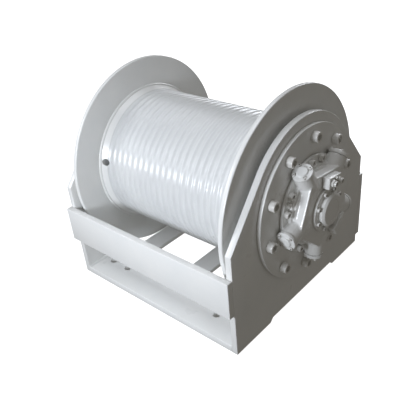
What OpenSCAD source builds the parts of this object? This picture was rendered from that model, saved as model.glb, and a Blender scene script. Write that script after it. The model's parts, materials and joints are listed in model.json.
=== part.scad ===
// Hydraulic drum winch (anchor windlass): a grooved rope drum between two side
// plates, turned by a five-cylinder radial piston motor through a planetary gear
// stage inside the drum, and held by a spring-applied multi-disc brake.
// The drum axis lies along X, the rope leaves towards -Y, and the motor is at +X.

/* [Frame] */
// Width over the outer faces of the two side plates
frame_w = 540; // [520:2:600]
// Length of a side plate along the rope direction
frame_d = 540; // [536:2:600]
// Thickness of the side plates and the cross plates
plate_t = 16; // [14:1:18]
// Height of the drum axis above the deck
axis_h = 268; // [266:1:290]
// Radius of the rounded top of a side plate
crown_r = 207; // [195:1:215]
// Height of the relief under a side plate, which leaves a foot at each end
foot_h = 10; // [6:1:14]

/* [Base] */
// Width of the base plates along the rope direction
base_d = 90; // [80:1:95]
// Thickness of the base plates
base_t = 18; // [14:1:20]
// Width of the three base bars
bar_w = 60; // [50:1:60]
// Thickness of the base bars
bar_t = 12; // [10:1:14]
// Radius of the deck bolt holes
deck_hole_r = 9; // [7:0.5:11]
// Distance of the outer deck bolts from the middle
outer_bolt_x = 218; // [212:1:222]
// Distance of the inner deck bolts from the middle
inner_bolt_x = 160; // [140:1:170]

/* [Drum] */
// Radius over the ridges of the rope grooves
barrel_r = 177; // [174:1:178]
// Radius of the bore of the barrel
barrel_bore_r = 160; // [160:1:161]
// Radius of the two drum flanges
drum_flange_r = 262; // [240:1:262]
// Thickness of a drum flange
drum_flange_t = 12; // [10:1:12]
// Pitch of the rope grooves, for an 18 mm rope
rope_pitch = 19.2; // [18.8:0.1:19.4]
// Depth of a rope groove
groove_depth = 3.2; // [2:0.1:3.6]

/* [Gears] */
// Module of the planetary gear stage
gear_m = 4; // [4:4]
// Play between two meshing teeth at the pitch circle
backlash = 0.5; // [0.4:0.05:0.7]

/* [Motor] */
// Radius of the mounting flange on the motor side plate
mount_flange_r = 184; // [178:1:190]
// Radius of a motor cylinder on the outside
cylinder_r = 22; // [21.5:0.5:22.5]
// Distance of a cylinder's outer end from the axis
cylinder_top = 122; // [118:1:126]
// Throw of the crankshaft's eccentric
throw = 6; // [4:0.5:7]

/* [Hidden] */
$fn = 96;

// Fits
joint_gap = 0.1;    // between two pieces bolted to each other
run_gap = 0.08;     // a journal in its bearing
free_gap = 0.4;     // moving pieces that only pass each other

// Side plates and drum along the axis
plate_out = frame_w / 2;
plate_in = plate_out - plate_t;
drum_flange_out = plate_in - 12;
drum_end = drum_flange_out - drum_flange_t;
groove_count = 2 * floor((drum_end - 14) / rope_pitch);
groove_end = groove_count / 2 * rope_pitch;
groove_r = rope_pitch / 2 + 0.9;
riser_r = barrel_r + 11;
rope_hole_r = 9;
rope_hole_angle = 166;
rope_hole_x = -(drum_end - 14);

// Drum bearings: radius of the shaft and of the housing bore, and the first face
motor_hub = [118, 140, 200];
spindle_hub = [40, 62, -188];
bearing_w = 20;
roller_r = 4.7;
hub_web_w = 28;

// Gear stage: the planets turn on fixed pins, so the ring gear drives the drum
sun_teeth = 18;
planet_teeth = 27;
ring_teeth = sun_teeth + 2 * planet_teeth;
planet_angles = [0, 120, 240];
carrier_r = (sun_teeth + planet_teeth) * gear_m / 2;
post_r = 14;
post_orbit = 98;
gear_x = 94;
gear_w = 46;
pin_r = 12;
inner_plate_x = 76;
carrier_t = 14;
outer_plate_x = gear_x + gear_w + 4;
carrier_disc_r = 114;

// Brake pack inside the housing tube
housing_x = outer_plate_x + carrier_t;
housing_bore_r = 100;
disc_t = 3;
disc_step = disc_t + free_gap;
pack_x = housing_x + 2;
steel_discs = 6;
piston_x = pack_x + (2 * steel_discs - 1) * disc_step - free_gap + 0.2;
piston_w = 17.8;
piston_travel = 2;
chamber_end = 236;
spigot_r = 142;
mount_flange_t = 10;
face_x = plate_out + mount_flange_t;
bearing_bore_r = 48;

// Motor
mount_screw_orbit = 158;
cylinder_angles = [for (i = [0:4]) 48 + 72 * i];
cylinder_x = 304;
cylinder_bore_r = 15;
casing_flange_r = 116;
casing_flange_t = 9;
casing_screw_orbit = 106.5;
casing_corner_r = 96;
casing_end = 324;
chamber_r = 54;
crank_r = 24;
tail_r = 16;
crank_end_r = 8;
eccentric_r = 26;
cover_t = 12;
cover_screw_pos = 13.2;
valve_flange_r = 54;
valve_flange_t = 7;
valve_screw_orbit = 47;
valve_body_r = 40;
rotor_r = 30;
motor_end = 344;

// Screws: radius of the thread, radius of the head, height of the head
m16 = [8, 12, 16];
m12 = [6, 9, 12];
m10 = [5, 8, 10];
m6 = [3, 5, 6];
m5 = [2.5, 4.25, 5];
m4 = [2, 3.5, 4];

WHITE = "#f2f2ef";
STEEL = "#a9abad";
DARK = "#55575a";
BRONZE = "#b08a4e";

// Turns the drawing plane into the YZ plane at a station along the drum axis,
// so that local X, Y and Z become Y, Z and X
module axial(x) {
    translate([x, 0, axis_h]) rotate([90, 0, 90]) children();
}

// Copies a child around the axis, on a circle of radius r
module ring_of(angles, r) {
    for (a = angles) rotate(a) translate([r, 0, 0]) children();
}

function spaced(n, first = 0) = [for (i = [0:n - 1]) first + i * 360 / n];

// A tube or washer along local Z
module tube(r_out, r_in, h) {
    difference() {
        cylinder(r = r_out, h = h);
        translate([0, 0, -1]) cylinder(r = r_in, h = h + 2);
    }
}

// Socket head screw: the head stands on local Z = 0 and the thread points down
module socket_screw(size, reach) {
    difference() {
        cylinder(r = size[1], h = size[2]);
        translate([0, 0, size[2] / 2]) cylinder(r = size[0] * 0.92, h = size[2], $fn = 6);
    }
    translate([0, 0, -reach]) cylinder(r = size[0], h = reach + size[2] / 4);
}

module screw_hole(size, reach) {
    translate([0, 0, -reach - 1]) cylinder(r = size[0] + joint_gap, h = reach + 2);
}

// ---------------------------------------------------------------- frame

// Outline of a side plate: straight ends, slopes and a round crown about the axis
module side_outline() {
    half = frame_d / 2;
    slope = acos(crown_r / half);
    relief = half - 138;
    difference() {
        union() {
            translate([0, axis_h]) circle(r = crown_r, $fn = 180);
            polygon([[-half, 0], [half, 0], [half, axis_h],
                [crown_r * cos(slope), axis_h + crown_r * sin(slope)],
                [-crown_r * cos(slope), axis_h + crown_r * sin(slope)], [-half, axis_h]]);
        }
        polygon([[-relief - foot_h, -1], [-relief, foot_h], [relief, foot_h], [relief + foot_h, -1]]);
    }
}

// Places of the ten screws that hold the brake housing on the motor side plate
module mount_screw_places() {
    ring_of(spaced(10, 84), mount_screw_orbit) children();
}

module motor_side_plate() {
    color(WHITE) difference() {
        translate([plate_in, 0, 0]) rotate([90, 0, 90]) linear_extrude(plate_t) side_outline();
        axial(plate_in - 1) cylinder(r = spigot_r + joint_gap, h = plate_t + 2);
        axial(plate_out) mount_screw_places() screw_hole(m16, plate_t);
    }
}

module bearing_side_plate() {
    color(WHITE) difference() {
        translate([-plate_out, 0, 0]) rotate([90, 0, 90]) linear_extrude(plate_t) side_outline();
        axial(-plate_out - 1) cylinder(r = 60 + joint_gap, h = plate_t + 2);
        mirror([1, 0, 0]) axial(plate_out) ring_of(spaced(8, 22.5), 74) screw_hole(m12, plate_t);
    }
}

module front_cross_plate() {
    color(WHITE) translate([-plate_out, -frame_d / 2 - plate_t, 117]) cube([frame_w, plate_t, 94]);
}

module rear_cross_plate() {
    color(WHITE) translate([-plate_out, frame_d / 2, 22]) cube([frame_w, plate_t, 190]);
}

// Base plate with two deck bolt holes on each side of the middle; side is -1 in front
module base_plate(side) {
    bolt_y = frame_d / 2 - 60;
    color(WHITE) difference() {
        translate([-plate_in, side < 0 ? -frame_d / 2 : frame_d / 2 - base_d, 0])
            cube([2 * plate_in, base_d, base_t]);
        for (x = [-outer_bolt_x, -inner_bolt_x, inner_bolt_x, outer_bolt_x])
            translate([x, side * bolt_y, -1]) cylinder(r = deck_hole_r, h = base_t + 2);
    }
}

module front_base_plate() { base_plate(-1); }
module rear_base_plate() { base_plate(1); }

// Flat bar that joins the two base plates
module base_bar(x) {
    length = frame_d - 2 * base_d;
    color(WHITE) translate([x - bar_w / 2, -length / 2, 0]) cube([bar_w, length, bar_t]);
}

module base_bar_motor_side() { base_bar(drum_end - 5 - bar_w / 2); }
module base_bar_middle() { base_bar(0); }
module base_bar_bearing_side() { base_bar(-(drum_end - 5 - bar_w / 2)); }

// ---------------------------------------------------------------- drum

module drum_barrel() {
    color(WHITE) difference() {
        axial(0) rotate_extrude($fn = 180) difference() {
            translate([barrel_bore_r, -drum_end]) square([barrel_r - barrel_bore_r, 2 * drum_end]);
            for (i = [0:groove_count - 1])
                translate([barrel_r + groove_r - groove_depth, (i + 0.5) * rope_pitch - groove_end])
                    circle(r = groove_r, $fn = 48);
        }
        rope_hole();
    }
}

// Radial hole through which the rope's end enters the drum
module rope_hole() {
    axial(rope_hole_x) rotate(rope_hole_angle) rotate([0, 90, 0]) cylinder(r = rope_hole_r, h = 220);
}

// Flange plate with a small chamfer at both rims
module drum_flange() {
    c = 1.5;
    color(WHITE) rotate_extrude($fn = 180) polygon([[barrel_bore_r - 8, 0],
        [drum_flange_r - c, 0], [drum_flange_r, c], [drum_flange_r, drum_flange_t - c],
        [drum_flange_r - c, drum_flange_t], [barrel_bore_r - 8, drum_flange_t]]);
}

module drum_flange_motor_side() { axial(drum_end) drum_flange(); }
module drum_flange_bearing_side() { axial(-drum_flange_out) drum_flange(); }

// Tapered filler that lifts the rope to its second layer beside the flange
module riser_ring() {
    color(WHITE) rotate_extrude($fn = 180) polygon([[barrel_r + joint_gap, 0],
        [barrel_r + joint_gap, drum_end - groove_end - 0.5], [riser_r, 0]]);
}

module riser_ring_motor_side() { mirror([1, 0, 0]) axial(-drum_end) riser_ring(); }

module riser_ring_bearing_side() {
    difference() {
        axial(-drum_end) riser_ring();
        rope_hole();
    }
}

// Web that carries the drum on one bearing
module drum_hub(seat) {
    color(WHITE) tube(barrel_bore_r, seat[1], hub_web_w);
}

module drum_hub_motor_side() { axial(motor_hub[2] - 2) drum_hub(motor_hub); }
module drum_hub_bearing_side() { axial(spindle_hub[2] - 6) drum_hub(spindle_hub); }

module bearing_inner_rings() {
    color(STEEL) for (s = [motor_hub, spindle_hub])
        axial(s[2]) tube(s[0] + 6, s[0] + joint_gap / 2, bearing_w);
}

module bearing_outer_rings() {
    color(STEEL) for (s = [motor_hub, spindle_hub])
        axial(s[2]) tube(s[1] - joint_gap / 2, s[1] - 6, bearing_w);
}

module bearing_rollers() {
    color(STEEL) for (s = [motor_hub, spindle_hub]) {
        orbit = (s[0] + s[1]) / 2;
        n = floor(2 * PI * orbit / (2.6 * roller_r));
        axial(s[2] + 2) ring_of(spaced(n), orbit) cylinder(r = roller_r, h = bearing_w - 4, $fn = 24);
    }
}

module drum_seals() {
    color(DARK) {
        axial(motor_hub[2] + bearing_w + 1) tube(motor_hub[1] - joint_gap, motor_hub[0] + free_gap, 5);
        axial(spindle_hub[2] - 6) tube(spindle_hub[1] - joint_gap, spindle_hub[0] + free_gap, 5);
    }
}

// Block under the rope hole, with two screws that bear on the rope's end
clamp_size = [26, 44, 13];
clamp_top = 158;
clamp_screw_y = 15;

module rope_clamp() {
    color(STEEL) axial(rope_hole_x) rotate(rope_hole_angle) difference() {
        translate([clamp_top - clamp_size[2], -clamp_size[1] / 2, -clamp_size[0] / 2])
            cube([clamp_size[2], clamp_size[1], clamp_size[0]]);
        rotate([0, 90, 0]) cylinder(r = rope_hole_r, h = 200);
        for (y = [-clamp_screw_y, clamp_screw_y])
            translate([0, y, 0]) rotate([0, 90, 0]) cylinder(r = m6[0] + joint_gap, h = 200);
    }
}

module rope_clamp_screws() {
    color(STEEL) axial(rope_hole_x) rotate(rope_hole_angle)
        for (y = [-clamp_screw_y, clamp_screw_y])
            translate([clamp_top - clamp_size[2], y, 0]) rotate([0, -90, 0])
                socket_screw(m6, clamp_size[2] - 1);
}

// ---------------------------------------------------------------- gear stage

function roll(a) = tan(a) * 180 / PI - a;

// Half the angle that a tooth covers at radius r, for a 20 degree involute
function half_tooth(r, pitch_r, width) =
    let (base_r = pitch_r * cos(20))
    width / pitch_r * 90 / PI + roll(20) - (r > base_r ? roll(acos(base_r / r)) : 0);

// Outline of a gear; radii run from the root to the tip of a flank
module gear_outline(teeth, radii, width) {
    last = len(radii) - 1;
    polygon([for (k = [0:teeth - 1]) for (side = [-1, 1]) for (i = [0:last])
        let (r = radii[side < 0 ? i : last - i],
             a = k * 360 / teeth + side * half_tooth(r, teeth * gear_m / 2, width))
        [r * cos(a), r * sin(a)]]);
}

tooth_w = gear_m * PI / 2;

module ring_gear() {
    pitch_r = ring_teeth * gear_m / 2;
    color(STEEL) axial(gear_x) linear_extrude(gear_w) difference() {
        circle(r = barrel_bore_r, $fn = 180);
        gear_outline(ring_teeth, [pitch_r - 0.8 * gear_m, pitch_r + 1.2 * gear_m], tooth_w + backlash / 2);
    }
}

// Planet gear with the bore that turns on its pin
module planet_gear(angle) {
    pitch_r = planet_teeth * gear_m / 2;
    color(STEEL) axial(gear_x + 1) rotate(angle) translate([carrier_r, 0, 0])
        linear_extrude(gear_w - 2) difference() {
            gear_outline(planet_teeth, [pitch_r - 1.2 * gear_m, pitch_r, pitch_r + 0.9 * gear_m],
                tooth_w - backlash / 2);
            circle(r = pin_r + run_gap);
        }
}

module planet_gear_1() { planet_gear(planet_angles[0]); }
module planet_gear_2() { planet_gear(planet_angles[1]); }
module planet_gear_3() { planet_gear(planet_angles[2]); }

module planet_pins() {
    color(STEEL) axial(inner_plate_x) ring_of(planet_angles, carrier_r)
        cylinder(r = pin_r, h = housing_x - inner_plate_x);
}

// Plate with its three posts, which reach between the planets
module carrier_inner_plate() {
    color(STEEL) axial(inner_plate_x) difference() {
        union() {
            cylinder(r = carrier_disc_r, h = carrier_t);
            ring_of(spaced(3, 60), post_orbit) cylinder(r = post_r, h = outer_plate_x - inner_plate_x);
        }
        ring_of(planet_angles, carrier_r) translate([0, 0, -1])
            cylinder(r = pin_r + joint_gap, h = carrier_t + 2);
        translate([0, 0, -1]) cylinder(r = 30, h = carrier_t + 2);
        ring_of(spaced(3, 60), post_orbit) translate([0, 0, outer_plate_x - inner_plate_x])
            screw_hole(m10, 30);
    }
}

module carrier_outer_plate() {
    color(STEEL) axial(outer_plate_x) difference() {
        cylinder(r = carrier_disc_r + 4, h = carrier_t);
        translate([0, 0, -1]) cylinder(r = crank_r, h = carrier_t + 2);
        ring_of(planet_angles, carrier_r) translate([0, 0, -1])
            cylinder(r = pin_r + joint_gap, h = carrier_t + 2);
        ring_of(spaced(3, 60), post_orbit) translate([0, 0, -1])
            cylinder(r = m10[0] + joint_gap, h = carrier_t + 2);
        ring_of(spaced(3, 60), post_orbit) translate([0, 0, carrier_t - m10[2] - 1])
            cylinder(r = m10[1] + joint_gap, h = m10[2] + 2);
    }
}

module carrier_screws() {
    color(DARK) axial(housing_x - m10[2] - 1) ring_of(spaced(3, 60), post_orbit) socket_screw(m10, 28);
}

shaft_r = 16;
brake_hub_r = 36;

// Sun gear, its shaft and the brake hub in one piece
module sun_shaft() {
    pitch_r = sun_teeth * gear_m / 2;
    color(STEEL) {
        axial(gear_x) linear_extrude(gear_w)
            gear_outline(sun_teeth, [pitch_r - 1.2 * gear_m, pitch_r, pitch_r + 0.9 * gear_m],
                tooth_w - backlash / 2);
        axial(gear_x) cylinder(r = shaft_r, h = face_x + 6 - gear_x);
        axial(pack_x) cylinder(r = brake_hub_r, h = (2 * steel_discs - 1) * disc_step - free_gap);
    }
}

// ---------------------------------------------------------------- brake

// Housing in one casting: tube for the discs, spigot in the plate and flange outside
module brake_housing() {
    color(WHITE) difference() {
        union() {
            axial(housing_x) cylinder(r = motor_hub[0], h = face_x - housing_x);
            axial(plate_in - 4) cylinder(r = spigot_r, h = face_x - plate_in + 4);
            axial(plate_out) cylinder(r = mount_flange_r, h = mount_flange_t);
        }
        axial(housing_x - 1) cylinder(r = housing_bore_r, h = chamber_end - housing_x + 1);
        axial(housing_x) cylinder(r = crank_r + 3, h = face_x - housing_x + 1);
        axial(face_x - mount_flange_t) cylinder(r = bearing_bore_r, h = mount_flange_t + 1);
        axial(face_x) mount_screw_places() screw_hole(m16, mount_flange_t);
        axial(face_x) casing_screw_places() screw_hole(m10, 22);
    }
}

module mounting_screws() {
    color(STEEL) axial(face_x) mount_screw_places() socket_screw(m16, plate_t + mount_flange_t - 2);
}

module brake_steel_discs() {
    color(STEEL) for (i = [0:steel_discs - 1])
        axial(pack_x + 2 * i * disc_step) tube(housing_bore_r - joint_gap, 42, disc_t);
}

module brake_friction_discs() {
    color(DARK) for (i = [0:steel_discs - 2])
        axial(pack_x + (2 * i + 1) * disc_step) tube(88, brake_hub_r + joint_gap, disc_t);
}

// Ring piston: oil pressure moves it against the springs and frees the discs
module brake_piston() {
    color(STEEL) axial(piston_x) tube(housing_bore_r - 0.3, 42, piston_w);
}

// Stack of disc springs between the piston and the housing's end wall
module brake_springs() {
    first = piston_x + piston_w + piston_travel + 0.4;
    pair = (chamber_end - first) / 2;
    color(DARK) for (i = [0, 1])
        axial(first + i * pair) rotate_extrude() polygon([[55, 0], [92, pair - 4.5],
            [92, pair - 0.5], [55, 4]]);
}

// ---------------------------------------------------------------- motor

// Places of the screws that hold the casing, two on each side of a flat
module casing_screw_places() {
    ring_of([for (a = cylinder_angles) for (s = [-1, 1]) a + 36 + s * 11],
        casing_screw_orbit) children();
}

// Turns a child to a cylinder: local Z points outwards from the axis
module at_cylinder(angle) {
    axial(cylinder_x) rotate(angle) rotate([0, 90, 0]) children();
}

// Five-armed casing on a round flange, with two round shoulders above the flange
module motor_casing() {
    color(WHITE) difference() {
        union() {
            axial(face_x) cylinder(r = casing_flange_r, h = casing_flange_t);
            axial(face_x + 1) cylinder(r = casing_corner_r + 1, h = 16);
            axial(face_x + 2) cylinder(r = casing_corner_r - 5, h = 21);
            axial(face_x + casing_flange_t - 1)
                linear_extrude(casing_end - face_x - casing_flange_t + 1)
                    polygon([for (a = cylinder_angles) for (s = [-9, 9])
                        [casing_corner_r * cos(a + s), casing_corner_r * sin(a + s)]]);
            for (a = cylinder_angles) at_cylinder(a) rotate(17) translate([0, 0, 61])
                cylinder(r = cylinder_r, h = cylinder_top - 61);
        }
        axial(face_x - 1) cylinder(r = chamber_r, h = casing_end - face_x - 9);
        axial(casing_end - 11) cylinder(r = 34 + joint_gap, h = 20);
        axial(casing_end) cylinder(r = 70, h = 20);
        for (a = cylinder_angles) at_cylinder(a) {
            translate([0, 0, 45]) cylinder(r = cylinder_bore_r, h = cylinder_top);
            cover_screw_places() translate([0, 0, cylinder_top]) screw_hole(m4, 12);
        }
        axial(face_x + casing_flange_t) casing_screw_places() screw_hole(m10, casing_flange_t);
        axial(casing_end) ring_of(spaced(8, 22.5), valve_screw_orbit) screw_hole(m6, 8);
    }
}

module casing_screws() {
    color(STEEL) axial(face_x + casing_flange_t) casing_screw_places()
        socket_screw(m10, casing_flange_t + 18);
}

module cover_screw_places() {
    for (x = [-1, 1]) for (y = [-1, 1])
        translate([x * cover_screw_pos, y * cover_screw_pos, 0]) children();
}

// Round cylinder cover with a raised middle
module cylinder_cover(i) {
    color(WHITE) at_cylinder(cylinder_angles[i]) translate([0, 0, cylinder_top]) difference() {
        union() {
            cylinder(r = cylinder_r + 1, h = cover_t - 4);
            cylinder(r = 12, h = cover_t);
        }
        cover_screw_places() translate([0, 0, cover_t]) screw_hole(m4, cover_t);
    }
}

module cylinder_cover_1() { cylinder_cover(0); }
module cylinder_cover_2() { cylinder_cover(1); }
module cylinder_cover_3() { cylinder_cover(2); }
module cylinder_cover_4() { cylinder_cover(3); }
module cylinder_cover_5() { cylinder_cover(4); }

module cover_screws() {
    color(STEEL) for (a = cylinder_angles) at_cylinder(a) cover_screw_places()
        translate([0, 0, cylinder_top + cover_t - 4]) socket_screw(m4, cover_t + 5);
}

// Pistons at mid stroke, with slippers that clear the eccentric all round
module motor_pistons() {
    sweep = eccentric_r + throw + 1.5;
    color(STEEL) for (a = cylinder_angles) at_cylinder(a) {
        translate([0, 0, 84]) cylinder(r = cylinder_bore_r - joint_gap, h = 28);
        translate([0, 0, sweep + 6]) cylinder(r = 6, h = 84 - sweep - 5);
        translate([0, 0, sweep]) cylinder(r = 8.5, h = 8);
    }
}

module crankshaft_bearings() {
    color(STEEL) {
        axial(face_x - mount_flange_t + joint_gap) tube(bearing_bore_r - joint_gap, crank_r + run_gap,
            mount_flange_t - joint_gap);
        axial(casing_end - 11 + joint_gap) tube(34, tail_r + run_gap, 10);
    }
}

// Journals and the eccentric; the sun shaft's end sits in the hollow journal
module crankshaft() {
    color(STEEL) difference() {
        union() {
            axial(chamber_end + 4) cylinder(r = crank_r, h = cylinder_x - 8 - chamber_end - 4);
            axial(cylinder_x - 9) rotate(48) translate([throw, 0, 0]) cylinder(r = eccentric_r, h = 17);
            axial(cylinder_x + 7) cylinder(r = tail_r, h = casing_end - cylinder_x - 7);
            axial(casing_end - 1) cylinder(r = crank_end_r, h = 11);
        }
        axial(chamber_end) cylinder(r = shaft_r + joint_gap, h = face_x + 7 - chamber_end);
    }
}

// Rotary valve that feeds each cylinder in turn
module valve_rotor() {
    color(BRONZE) axial(casing_end + 1) difference() {
        cylinder(r = rotor_r, h = 9);
        translate([0, 0, -1]) cylinder(r = crank_end_r + joint_gap, h = 11);
        for (i = [0:4]) rotate(72 * i) translate([20, 0, -1]) cylinder(r = 4.5, h = 11);
    }
}

module valve_housing() {
    color(WHITE) difference() {
        union() {
            axial(casing_end) cylinder(r = valve_flange_r, h = valve_flange_t);
            axial(casing_end) rotate_extrude() polygon([[0, 6], [valve_body_r, 6],
                [valve_body_r, motor_end - casing_end - 5], [valve_body_r - 5, motor_end - casing_end],
                [0, motor_end - casing_end]]);
        }
        axial(casing_end - 1) cylinder(r = rotor_r + free_gap, h = 13);
        axial(casing_end + valve_flange_t) ring_of(spaced(8, 22.5), valve_screw_orbit)
            screw_hole(m6, valve_flange_t);
    }
}

module valve_screws() {
    color(STEEL) axial(casing_end + valve_flange_t) ring_of(spaced(8, 22.5), valve_screw_orbit)
        socket_screw(m6, valve_flange_t + 7);
}

port_angle = 84;
port_size = [18, 50, 26];
port_y = 12;

// Turns a child to the port block: local X points outwards, Z along the drum axis
module at_port() {
    axial(casing_end + 0.5) rotate(port_angle) translate([valve_flange_r + 2, 0, 0]) children();
}

module port_block() {
    color(WHITE) at_port() difference() {
        translate([0, -port_size[1] / 2, 0]) cube([port_size[2], port_size[1], port_size[0]]);
        for (y = [-port_y, port_y]) translate([port_size[2] / 2, y, 8]) cylinder(r = 7.5, h = 20);
        for (x = [5, port_size[2] - 5]) translate([x, 0, port_size[0]]) screw_hole(m5, port_size[0]);
    }
}

module port_block_screws() {
    color(STEEL) at_port() for (x = [5, port_size[2] - 5])
        translate([x, 0, port_size[0]]) socket_screw(m5, port_size[0] - 1);
}

// Straight hydraulic connections: a thread, a hexagon and a nipple
module port_fittings() {
    color(STEEL) at_port() for (y = [-port_y, port_y]) translate([port_size[2] / 2, y, 0]) difference() {
        union() {
            translate([0, 0, 9]) cylinder(r = 7.5 - joint_gap, h = 10);
            translate([0, 0, port_size[0]]) cylinder(r = 9.2, h = 6, $fn = 6);
            translate([0, 0, port_size[0]]) cylinder(r = 6.5, h = 11);
        }
        translate([0, 0, 8]) cylinder(r = 4, h = 30);
    }
}

// Load holding valve: a block on the casing with a cartridge in it
module counterbalance_valve() {
    color(WHITE) axial(casing_end + 0.5) rotate(300) translate([valve_flange_r + 2, 0, 0]) {
        translate([0, -20, 0]) cube([24, 36, 18]);
        translate([12, 15, 9]) rotate([-90, 0, 0]) cylinder(r = 7, h = 11);
        translate([12, 25, 9]) rotate([-90, 0, 0]) cylinder(r = 5.5, h = 9, $fn = 6);
    }
}

module drain_plug() {
    color(STEEL) axial(face_x + casing_flange_t) rotate(156) translate([casing_screw_orbit, 0, 0]) {
        cylinder(r = 7, h = 3);
        cylinder(r = 6, h = 9, $fn = 6);
    }
}

// ---------------------------------------------------------------- bearing side

module bearing_spindle() {
    color(WHITE) mirror([1, 0, 0]) difference() {
        union() {
            axial(160) cylinder(r = spindle_hub[0], h = plate_out - 160);
            axial(plate_in) cylinder(r = 60, h = plate_t + 1);
            axial(plate_out) cylinder(r = 92, h = 12);
        }
        axial(plate_out + 12) ring_of(spaced(8, 22.5), 74) screw_hole(m12, 12);
        axial(plate_out + 6) cylinder(r = 10, h = 10);
    }
}

module spindle_cap() {
    color(WHITE) mirror([1, 0, 0]) axial(plate_out + 12) rotate_extrude() polygon([[0, 0], [46, 0],
        [46, 6], [42, 9], [0, 9]]);
}

module spindle_screws() {
    color(STEEL) mirror([1, 0, 0]) axial(plate_out + 12) ring_of(spaced(8, 22.5), 74)
        socket_screw(m12, plate_t + 8);
}

module grease_nipple() {
    color(STEEL) mirror([1, 0, 0]) axial(plate_out + 21) {
        cylinder(r = 6, h = 4, $fn = 6);
        cylinder(r = 3, h = 9);
        translate([0, 0, 9]) sphere(r = 3.6, $fn = 32);
    }
}

motor_side_plate();
bearing_side_plate();
front_cross_plate();
rear_cross_plate();
front_base_plate();
rear_base_plate();
base_bar_motor_side();
base_bar_middle();
base_bar_bearing_side();
brake_housing();
mounting_screws();
motor_casing();
casing_screws();
cylinder_cover_1();
cylinder_cover_2();
cylinder_cover_3();
cylinder_cover_4();
cylinder_cover_5();
cover_screws();
motor_pistons();
valve_housing();
valve_screws();
port_block();
port_block_screws();
port_fittings();
counterbalance_valve();
drain_plug();
crankshaft_bearings();
carrier_inner_plate();
carrier_outer_plate();
planet_pins();
carrier_screws();
brake_steel_discs();
brake_springs();
bearing_spindle();
spindle_cap();
spindle_screws();
grease_nipple();
bearing_inner_rings();
drum_barrel();
drum_flange_motor_side();
drum_flange_bearing_side();
riser_ring_motor_side();
riser_ring_bearing_side();
drum_hub_motor_side();
drum_hub_bearing_side();
ring_gear();
bearing_outer_rings();
bearing_rollers();
drum_seals();
rope_clamp();
rope_clamp_screws();
crankshaft();
sun_shaft();
brake_friction_discs();
valve_rotor();
planet_gear_1();
planet_gear_2();
planet_gear_3();
brake_piston();
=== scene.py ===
"""Looks of a hydraulic drum windlass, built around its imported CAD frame.

The windlass is a white-enamelled weldment: two side plates, cross plates and a drilled
base carry a grooved rope drum, which a radial piston motor turns. Every visible piece is
modelled here; the gears, bearings and brake inside keep their CAD shape.
"""

import json
import logging
import math
from collections.abc import Callable, Iterable, Sequence
from dataclasses import dataclass, field
from enum import Enum

import bmesh
import bpy
from mathutils import Matrix, Vector


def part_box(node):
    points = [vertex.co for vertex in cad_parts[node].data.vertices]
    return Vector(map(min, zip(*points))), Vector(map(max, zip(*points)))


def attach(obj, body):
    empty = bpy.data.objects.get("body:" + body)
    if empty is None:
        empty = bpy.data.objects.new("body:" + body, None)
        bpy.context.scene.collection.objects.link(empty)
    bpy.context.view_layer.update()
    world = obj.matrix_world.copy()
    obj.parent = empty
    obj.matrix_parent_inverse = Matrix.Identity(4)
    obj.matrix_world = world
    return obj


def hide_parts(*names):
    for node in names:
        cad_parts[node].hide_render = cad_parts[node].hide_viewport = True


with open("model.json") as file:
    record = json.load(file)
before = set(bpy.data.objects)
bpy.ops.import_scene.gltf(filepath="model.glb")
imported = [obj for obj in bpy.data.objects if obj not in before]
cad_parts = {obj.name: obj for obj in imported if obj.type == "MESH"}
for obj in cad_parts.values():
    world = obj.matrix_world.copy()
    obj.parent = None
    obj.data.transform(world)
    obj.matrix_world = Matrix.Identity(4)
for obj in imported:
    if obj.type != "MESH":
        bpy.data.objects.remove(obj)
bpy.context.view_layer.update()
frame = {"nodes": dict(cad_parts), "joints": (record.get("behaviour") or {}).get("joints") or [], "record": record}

logging.basicConfig(level=logging.INFO, format="%(message)s")
LOG = logging.getLogger("windlass")

MM = 0.001
TURN = 2 * math.pi
JOINTS = {joint["name"]: joint for joint in frame["joints"]}
AXIS = Vector((0.0, 0.0, JOINTS["drum_spin"]["pos_m"][2]))
ALONG = Vector((1.0, 0.0, 0.0))


class Body(Enum):
    """The moving bodies that a visible piece can ride on."""

    FRAME = "frame"
    DRUM = "drum"


class Slot(Enum):
    """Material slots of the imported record."""

    ENAMEL = "enamel"
    FASTENER = "painted_fastener"
    STEEL = "machined_steel"
    SPRING = "spring_steel"
    BRONZE = "bronze"
    LINING = "friction_lining"
    RUBBER = "seal_rubber"


# ---------------------------------------------------------------- finishes


def linear(hex_colour: str) -> tuple[float, float, float, float]:
    """Turn an sRGB hex colour into linear RGBA.

    Args:
        hex_colour: Six hex digits, such as "f2f2ef".

    Returns:
        The colour as shader sockets take it.
    """
    parts = [int(hex_colour[i : i + 2], 16) / 255 for i in (0, 2, 4)]
    curve = [c / 12.92 if c <= 0.04045 else ((c + 0.055) / 1.055) ** 2.4 for c in parts]
    return (*curve, 1.0)


def add_node(
    tree: bpy.types.NodeTree,
    kind: str,
    inputs: dict[str | int, object] | None = None,
    **settings: object,
) -> bpy.types.Node:
    """Add a shader node, set its properties and fill or link its inputs.

    Args:
        tree: The node tree.
        kind: Blender's name of the node type.
        inputs: Socket name or number to a value, or to an output socket to link.
        settings: Properties of the node itself.

    Returns:
        The new node.
    """
    node = tree.nodes.new(kind)
    for name, value in settings.items():
        setattr(node, name, value)
    for name, value in (inputs or {}).items():
        if isinstance(value, bpy.types.NodeSocket):
            tree.links.new(value, node.inputs[name])
        else:
            node.inputs[name].default_value = value
    return node


def new_shader(name: str) -> tuple[bpy.types.Material, bpy.types.NodeTree, bpy.types.Node]:
    """Start a material and return it with its tree and its Principled shader."""
    material = bpy.data.materials.new(name)
    material.use_nodes = True
    tree = material.node_tree
    tree.nodes.clear()
    shader = add_node(tree, "ShaderNodeBsdfPrincipled")
    add_node(tree, "ShaderNodeOutputMaterial", {"Surface": shader.outputs["BSDF"]})
    return material, tree, shader


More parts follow.
